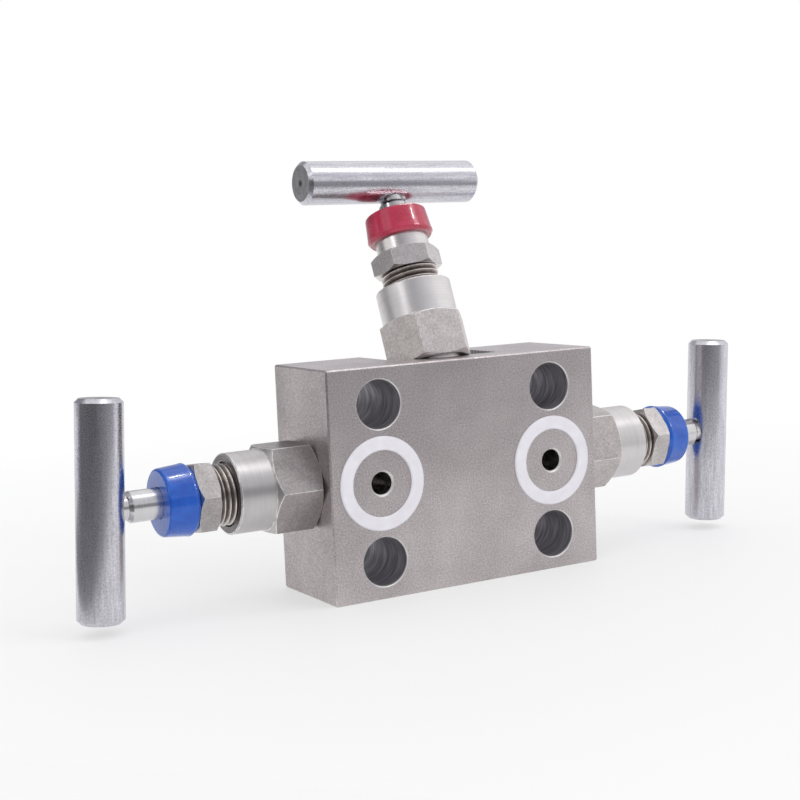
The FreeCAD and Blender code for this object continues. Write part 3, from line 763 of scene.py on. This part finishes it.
def threaded_sleeve(tree, name, sizes, place):
    """The tree's mesh for these sizes, set in its valve's place as a plain mesh."""
    holder = new_object(name + "_maker", bpy.data.meshes.new(name + "_seed"))
    modifier = holder.modifiers.new("thread", "NODES")
    modifier.node_group = tree
    for item in tree.interface.items_tree:
        if item.item_type == "SOCKET" and item.in_out == "INPUT" and item.name in sizes:
            modifier[item.identifier] = sizes[item.name]
    ready = holder.evaluated_get(bpy.context.evaluated_depsgraph_get())
    mesh = bpy.data.meshes.new_from_object(ready)
    bpy.data.objects.remove(holder)
    mesh.name = name
    mesh.transform(place)
    shape = bmesh.new()
    shape.from_mesh(mesh)
    bmesh.ops.recalc_face_normals(shape, faces=shape.faces)
    for face in shape.faces:
        face.smooth = True
    shape.to_mesh(mesh)
    shape.free()
    return new_object(name, mesh)


def clear_thread_zone(shape, valve, hexagon_station):
    """Draws the plain thread cylinder in to its core, so that the threaded sleeve takes its place."""
    for vertex in shape.verts:
        spot = into_valve[valve] @ vertex.co
        reach = math.hypot(spot.x, spot.y)
        if spot.z < hexagon_station + WELD and GLAND_CORE < reach < GLAND_CREST + SAME_LENGTH:
            spot.x *= GLAND_CORE / reach
            spot.y *= GLAND_CORE / reach
            vertex.co = valve_place[valve] @ spot


thread_tree = make_thread_tree(make_thread_finish())
thread_sizes = {
    "Crest Radius": GLAND_CREST,
    "Root Radius": GLAND_ROOT,
    "Core Radius": GLAND_CORE - SLEEVE_OVERLAP,
    "Pitch": GLAND_PITCH,
    "Length": GLAND_THREAD_LENGTH,
}
# Each valve's gland finishes are lit and shaded copies of one finish, as painted light and shade.
for valve in VALVES:
    tones = turned_painted_light(GLAND_TURNED_TONES, valve)
    turned = make_turned_finish(f"{valve}_turned_gland_steel", tones, roughness=0.28, pitch=0.2 * MM)
    tones = skin_painted_light(GLAND_FLATS_TONES, valve)
    flats = make_flats_finish(f"{valve}_gland_hexagon_steel", tones, roughness=0.36)
    gland_finishes = {TURNED: turned, FLATS: flats, WORN: worn_corner}
    shape = joined_copy(f"{valve}_gland_bolt")
    foot = min((into_valve[valve] @ vertex.co).z for vertex in shape.verts)
    clear_thread_zone(shape, valve, foot + GLAND_THREAD_LENGTH)
    break_edges(shape, GLAND_BREAK)
    sort_hexagon_faces(shape, valve)
    gland = finished_piece(shape, f"{valve}_gland_bolt_finished", gland_finishes.values())
    mark_turning(gland, valve)
    stand_for(gland, f"{valve}_gland_bolt")
    place = valve_place[valve] @ Matrix.Translation((0, 0, foot + GLAND_THREAD_LENGTH / 2))
    sleeve = threaded_sleeve(thread_tree, f"{valve}_gland_thread", thread_sizes, place)
    mark_turning(sleeve, valve)
    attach(sleeve, "block_body")

# The stems. Each is ground from stainless bar, threaded at its inner end and pressed into the T-bar at
# its outer end, and it runs through the packing.
STEM_TONES = ((0.60, 0.59, 0.60), (0.72, 0.71, 0.72))
ground_stem = make_turned_finish("ground_stem_steel", STEM_TONES, roughness=0.24, pitch=0.12 * MM)
for valve in VALVES:
    shape = joined_copy(f"{valve}_stem")
    stem = finished_piece(shape, f"{valve}_stem_finished", [ground_stem])
    mark_turning(stem, valve)
    stand_for(stem, f"{valve}_stem")

# The T-bars. Each is a length of bright drawn stainless rod with its ends chamfered, cross drilled for
# the stem and polished along its length.
BAR_BREAK = 0.1 * MM
BAR_END_LEAST_AREA = 40 * MM * MM
BAR_TONES = ((0.495, 0.485, 0.53), (0.735, 0.725, 0.78))
BAR_MARKS_PER_METRE = (120, 1500, 1500)
BAR_END_TONES = ((0.34, 0.33, 0.335), (0.60, 0.59, 0.60))
BAR_END_CENTRE = (0.07, 0.065, 0.065)
BAR_END_RINGS_PER_METRE = 2500.0
BAR_END_DRIFT = 0.6
BAR_CENTRE_FADE = (0.4 * MM, 1.3 * MM)
DRAWN, FACED = range(2)


def make_bar_finish():
    """Bright drawn rod: polished, with faint marks along it."""
    material, tree, shader = finish("polished_bar_steel")
    place = marked_place(tree, "drawn")
    marks = tool_marks(tree, place, BAR_MARKS_PER_METRE, detail=3.0)
    grain = grain_on(tree, place, cloud=8 * MM, pits=0.5 * MM)
    tone = mixed(tree, marks, grain["Pits"], share=0.4)
    feed(
        tree,
        shader,
        Base_Color=toned(tree, tone, CRISP, BAR_TONES),
        Roughness=dulled(tree, tone, SOFT, dull=0.31, smooth=0.20),
        Normal=bump(tree, grain["Pits"], depth=0.002 * MM),
    )
    return material


def make_bar_end_finish():
    """The faced end: duller than the side, ringed by the tool, with a dark centre where the cut ended."""
    material, tree, shader = finish("faced_bar_end_steel")
    place = marked_place(tree, "drawn")
    along, across, up = add(tree, "ShaderNodeSeparateXYZ", {0: place}).outputs
    reach = distance_out(tree, across, up)
    step = maths(tree, "MULTIPLY", reach, BAR_END_RINGS_PER_METRE)
    around = maths(tree, "MULTIPLY", maths(tree, "ARCTAN2", across, up), BAR_END_DRIFT)
    rings = noise(tree, add(tree, "ShaderNodeCombineXYZ", {0: step, 1: around}).outputs[0], detail=3.0)
    grain = grain_on(tree, place, cloud=2.5 * MM, pits=0.5 * MM)
    tone = mixed(tree, rings, grain["Cloud"], share=0.5)
    off_centre = span(tree, reach, *BAR_CENTRE_FADE)
    ringed = toned(tree, tone, EVEN, BAR_END_TONES)
    feed(
        tree,
        shader,
        Base_Color=between(tree, off_centre, BAR_END_CENTRE, ringed),
        Roughness=dulled(tree, tone, SOFT, dull=0.48, smooth=0.34),
        Normal=bump(tree, rings, depth=0.01 * MM),
    )
    return material


def mark_drawing(piece, valve):
    """Marks the bar with its points' places along and across it, from its middle."""
    ends = [face for face in piece.data.polygons if face.area > BAR_END_LEAST_AREA]
    first, second = sorted(ends, key=lambda face: face.area)[-2:]
    middle = (first.center + second.center) / 2
    along = (second.center - first.center).normalized()
    across = outward_of[valve].cross(along).normalized()
    into_bar = Matrix((along, across, along.cross(across)))
    mark_points(piece, "drawn", lambda point: into_bar @ (point - middle))


bar_finishes = {DRAWN: make_bar_finish(), FACED: make_bar_end_finish()}
for valve in VALVES:
    shape = joined_copy(f"{valve}_t_bar")
    break_edges(shape, BAR_BREAK)
    for face in shape.faces:
        if face.calc_area() > BAR_END_LEAST_AREA:
            face.material_index = FACED
    bar = finished_piece(shape, f"{valve}_t_bar_finished", bar_finishes.values())
    mark_drawing(bar, valve)
    stand_for(bar, f"{valve}_t_bar")

# The dust caps. Each is injection moulded in glossy plastic, blue on the block valves and red on the
# equalizing valve, and it grips the gland bolt's boss with a bead round its open rim.
CAP_GLOSS = {"Specular_IOR_Level": 0.30, "Coat_Weight": 0.6, "Coat_Roughness": 0.04}
BLUE_TONES = ((0.006, 0.078, 0.46), (0.014, 0.125, 0.60))
RED_TONES = ((0.40, 0.020, 0.055), (0.52, 0.034, 0.085))


def make_cap_finish(name, tones):
    """Glossy moulded plastic with a faint flow in its colour."""
    material, tree, shader = finish(name, metallic=0.0, **CAP_GLOSS)
    grain = grain_on(tree, marked_place(tree, "turning"), cloud=6 * MM, pits=0.8 * MM)
    feed(
        tree,
        shader,
        Base_Color=toned(tree, grain["Cloud"], EVEN, tones),
        Roughness=dulled(tree, grain["Pits"], SOFT, dull=0.30, smooth=0.20),
        Normal=bump(tree, grain["Pits"], depth=0.01 * MM),
    )
    return material


blue_cap = make_cap_finish("blue_cap_plastic", BLUE_TONES)
red_cap = make_cap_finish("red_cap_plastic", RED_TONES)
glossy_caps = bpy.data.collections.new("glossy_caps")
for valve in VALVES:
    shape = joined_copy(f"{valve}_dust_cap")
    cap_plastic = red_cap if valve == "equalizing" else blue_cap
    cap = finished_piece(shape, f"{valve}_dust_cap_finished", [cap_plastic])
    mark_turning(cap, valve)
    stand_for(cap, f"{valve}_dust_cap")
    glossy_caps.objects.link(cap)

# The pieces inside each valve: the seal under the bonnet, the packing with its washer and bushing, and
# the needle tip. They are turned from stainless steel and fluoropolymer, and nothing of them shows.
INNER_TONES = ((0.48, 0.46, 0.46), (0.62, 0.60, 0.60))
inner_steel = make_turned_finish("inner_turned_steel", INNER_TONES, roughness=0.3, pitch=0.2 * MM)
inner_finishes = {
    "bonnet_seal": ring_white,
    "packing_washer": inner_steel,
    "packing": ring_white,
    "thrust_bushing": inner_steel,
    "needle_tip": inner_steel,
}
for valve in VALVES:
    for part, material in inner_finishes.items():
        node = frame["nodes"][f"{valve}_{part}"]
        node.data.materials.clear()
        node.data.materials.append(material)

# The studio: a sheet of pale paper that the object stands on, soft lamps, and the camera at the
# photograph's place, in front of the block, to its left and a little above it.
CAMERA_PLACE = (-0.2121, -0.3300, 0.0635)
CAMERA_TURN = (83.667, 2.443, -30.385)
FOCAL_LENGTH_MM = 66.58
SENSOR_WIDTH_MM = 36.0
NEAREST_SEEN = 0.01
camera_data = bpy.data.cameras.new("camera")
camera_data.lens = FOCAL_LENGTH_MM
camera_data.sensor_width = SENSOR_WIDTH_MM
camera_data.clip_start = NEAREST_SEEN
camera = new_object("camera", camera_data)
camera.location = CAMERA_PLACE
camera.rotation_euler = [math.radians(turn) for turn in CAMERA_TURN]
bpy.context.scene.camera = camera
bpy.context.scene.view_settings.view_transform = "Standard"

WHITE = (1, 1, 1, 1)
DAYLIGHT = 0.85


def seen_directly(tree):
    """1 for what the camera, a reflection or clear material sees, 0 for the light itself."""
    rays = add(tree, "ShaderNodeLightPath").outputs
    seen = maths(tree, "MAXIMUM", rays["Is Camera Ray"], rays["Is Glossy Ray"])
    return maths(tree, "MAXIMUM", seen, rays["Is Transmission Ray"])


world = bpy.data.worlds.new("studio")
world.use_nodes = True
bpy.context.scene.world = world
sky = world.node_tree
sky.nodes.clear()
daylight = add(sky, "ShaderNodeBackground", {"Color": WHITE, "Strength": DAYLIGHT})
backdrop = add(sky, "ShaderNodeBackground", {"Color": WHITE, "Strength": 1.0})
choice = {0: seen_directly(sky), 1: daylight.outputs[0], 2: backdrop.outputs[0]}
chosen = add(sky, "ShaderNodeMixShader", choice)
add(sky, "ShaderNodeOutputWorld", {"Surface": chosen.outputs[0]})

# The paper turns into plain white with its distance from the object.
PAPER_REACH = 3.0
PAPER_COLOUR = (0.92, 0.92, 0.93, 1.0)
FADE_START = 0.10
FADE_END = 0.36
FADE_LEAST = 0.5
floor_level = cad_box[0].z


def plain_mesh(name, corners, faces, material):
    """A mesh of a few flat faces."""
    mesh = bpy.data.meshes.new(name)
    mesh.from_pydata(corners, [], faces)
    mesh.materials.append(material)
    return mesh


def make_paper_finish():
    """Matt paper near the object, and farther off only its whiteness."""
    material, tree, shader = finish("pale_floor", metallic=0.0, Roughness=0.6, Base_Color=PAPER_COLOUR)
    white_out = add(tree, "ShaderNodeEmission", {"Color": WHITE, "Strength": 1.0})
    away = add(tree, "ShaderNodeVectorMath", {0: object_place(tree)}, operation="LENGTH").outputs["Value"]
    fade = span(tree, away, FADE_START, FADE_END, FADE_LEAST, 1.0)
    fade = maths(tree, "MULTIPLY", fade, seen_directly(tree))
    both = {0: fade, 1: shader.outputs[0], 2: white_out.outputs[0]}
    surface = add(tree, "ShaderNodeMixShader", both).outputs[0]
    tree.links.new(surface, tree.nodes["Material Output"].inputs["Surface"])
    return material


floor_corners = [
    (-PAPER_REACH, -PAPER_REACH, floor_level),
    (PAPER_REACH, -PAPER_REACH, floor_level),
    (PAPER_REACH, PAPER_REACH, floor_level),
    (-PAPER_REACH, PAPER_REACH, floor_level),
]
floor_mesh = plain_mesh("floor", floor_corners, [(0, 1, 2, 3)], make_paper_finish())
new_object("floor", floor_mesh)

# The unlit room round the paper, which only reflections see. It gives the bars and the collars their
# dark bands. The ground is dark past the paper's edges, and a near wall runs from in front of the
# object's right end back past the camera.
ROOM_REACH = 2.0
ROOM_TINT = (0.95, 0.95, 1.0, 1.0)
GLOW_LEFT = -1.0
GLOW_RIGHT = 0.5
SCREEN_STEPS = 24
PAPER_LEFT = -0.145
PAPER_RIGHT = 0.27
PAPER_FRONT = -0.195
PAPER_BACK = 0.195
PAPER_LEFT_FRONT = -0.058
PAPER_CUT = -0.029
GROUND_RIGHT = 1.3
NEAR_WALL_EDGE = (0.233, -0.26)
NEAR_WALL_EDGE_HEIGHT = 0.114
NEAR_WALL_END = (-0.17, -1.99)
NEAR_WALL_END_HEIGHT = 0.65
CARD_LIFT = 0.5 * MM
WALL_SUNK = 2 * MM


def make_room_glow(name, at_left, at_right):
    """The tone of a part of the room, from its left to its right."""
    material = bpy.data.materials.new(name)
    material.use_nodes = True
    tree = material.node_tree
    tree.nodes.clear()
    across = add(tree, "ShaderNodeSeparateXYZ", {0: object_place(tree)}).outputs[0]
    strength = span(tree, across, GLOW_LEFT, GLOW_RIGHT, at_left, at_right)
    glow = add(tree, "ShaderNodeEmission", {"Color": ROOM_TINT, "Strength": strength})
    add(tree, "ShaderNodeOutputMaterial", {"Surface": glow.outputs[0]})
    return material


def add_card(name, corners, faces, material):
    """A card that only reflections see."""
    card = new_object(name, plain_mesh(name, corners, faces, material))
    card.visible_camera = False
    card.visible_diffuse = False
    card.visible_transmission = False
    card.visible_shadow = False


def add_screen(name, turns, climbs, material):
    """A curved screen round the object, between two turns from the front and two climbs, in degrees."""
    first, last = turns
    corners = []
    for step in range(SCREEN_STEPS + 1):
        turn = math.radians(first + (last - first) * step / SCREEN_STEPS)
        for climb in climbs:
            flat = ROOM_REACH * math.cos(math.radians(climb))
            up = ROOM_REACH * math.sin(math.radians(climb))
            corners.append((flat * math.sin(turn), -flat * math.cos(turn), up))
    faces = [(2 * step, 2 * step + 2, 2 * step + 3, 2 * step + 1) for step in range(SCREEN_STEPS)]
    add_card(name, corners, faces, material)


dark_room = make_room_glow("unlit_room", at_left=0.10, at_right=0.36)
dim_side = make_room_glow("dim_side", at_left=0.20, at_right=0.60)
dim_ceiling = make_room_glow("dim_ceiling", at_left=0.38, at_right=0.78)
card_height = floor_level + CARD_LIFT
ground_corners = [
    (-ROOM_REACH, -ROOM_REACH, card_height),
    (GROUND_RIGHT, -ROOM_REACH, card_height),
    (PAPER_RIGHT, PAPER_FRONT, card_height),
    (PAPER_CUT, PAPER_FRONT, card_height),
    (PAPER_LEFT, PAPER_LEFT_FRONT, card_height),
    (-ROOM_REACH, PAPER_LEFT_FRONT, card_height),
    (PAPER_LEFT, PAPER_BACK, card_height),
    (-ROOM_REACH, ROOM_REACH / 2, card_height),
]
add_card("dark_ground", ground_corners, [(0, 1, 2, 3, 4, 5), (5, 4, 6, 7)], dark_room)
side_corners = [
    (PAPER_RIGHT, PAPER_FRONT, card_height),
    (GROUND_RIGHT, -ROOM_REACH, card_height),
    (ROOM_REACH, -ROOM_REACH, card_height),
    (ROOM_REACH, PAPER_FRONT, card_height),
]
add_card("dim_ground", side_corners, [(0, 1, 2, 3)], dim_ceiling)
near_wall_corners = [
    (*NEAR_WALL_END, card_height - WALL_SUNK),
    (*NEAR_WALL_EDGE, card_height - WALL_SUNK),
    (*NEAR_WALL_EDGE, NEAR_WALL_EDGE_HEIGHT),
    (*NEAR_WALL_END, NEAR_WALL_END_HEIGHT),
]
add_card("near_wall", near_wall_corners, [(0, 1, 2, 3)], dark_room)
add_screen("side_wall", turns=(-126, -90), climbs=(-2, 8), material=dark_room)
add_screen("front_wall", turns=(-90, -5), climbs=(-2, 18), material=dark_room)
add_screen("rear_wall", turns=(157, 178), climbs=(1, 14), material=dark_room)
add_screen("dim_backdrop", turns=(110, 157), climbs=(1, 30), material=dim_ceiling)
add_screen("dim_side", turns=(-200, -126), climbs=(-2, 50), material=dim_side)
add_screen("dim_ceiling", turns=(-70, 45), climbs=(24, 60), material=dim_ceiling)

# The lamps: three soft ones for the whole object, and two narrow ones that reach only the caps, where
# they show as bright lines in the gloss. The right one lights its side without showing in the metal.
GLINT_SIZE = (0.10, 0.6)
GLINT_POWER = 11.0
GLINT_PLACES = {"front_glint": (0.80, -0.756, 0.784), "top_glint": (0.43, 0.12, 1.11)}


def add_softbox(name, place, size, power):
    """A soft oblong lamp that points at the object's middle."""
    lamp = bpy.data.lights.new(name, "AREA")
    lamp.shape = "RECTANGLE"
    lamp.size, lamp.size_y = size
    lamp.energy = power
    softbox = new_object(name, lamp)
    softbox.location = place
    softbox.rotation_euler = (-Vector(place)).to_track_quat("-Z", "Y").to_euler()
    return softbox


add_softbox("overhead_softbox", place=(0.42, -0.24, 1.05), size=(0.2, 0.9), power=1.3)
add_softbox("left_softbox", place=(-1.05, -0.26, 0.53), size=(0.10, 0.5), power=0.5)
right_softbox = add_softbox("right_softbox", place=(0.57, -0.85, 0.80), size=(0.10, 0.5), power=1.2)
right_softbox.visible_glossy = False
for name, place in GLINT_PLACES.items():
    glint = add_softbox(name, place, GLINT_SIZE, GLINT_POWER)
    glint.visible_diffuse = False
    glint.light_linking.receiver_collection = glossy_caps
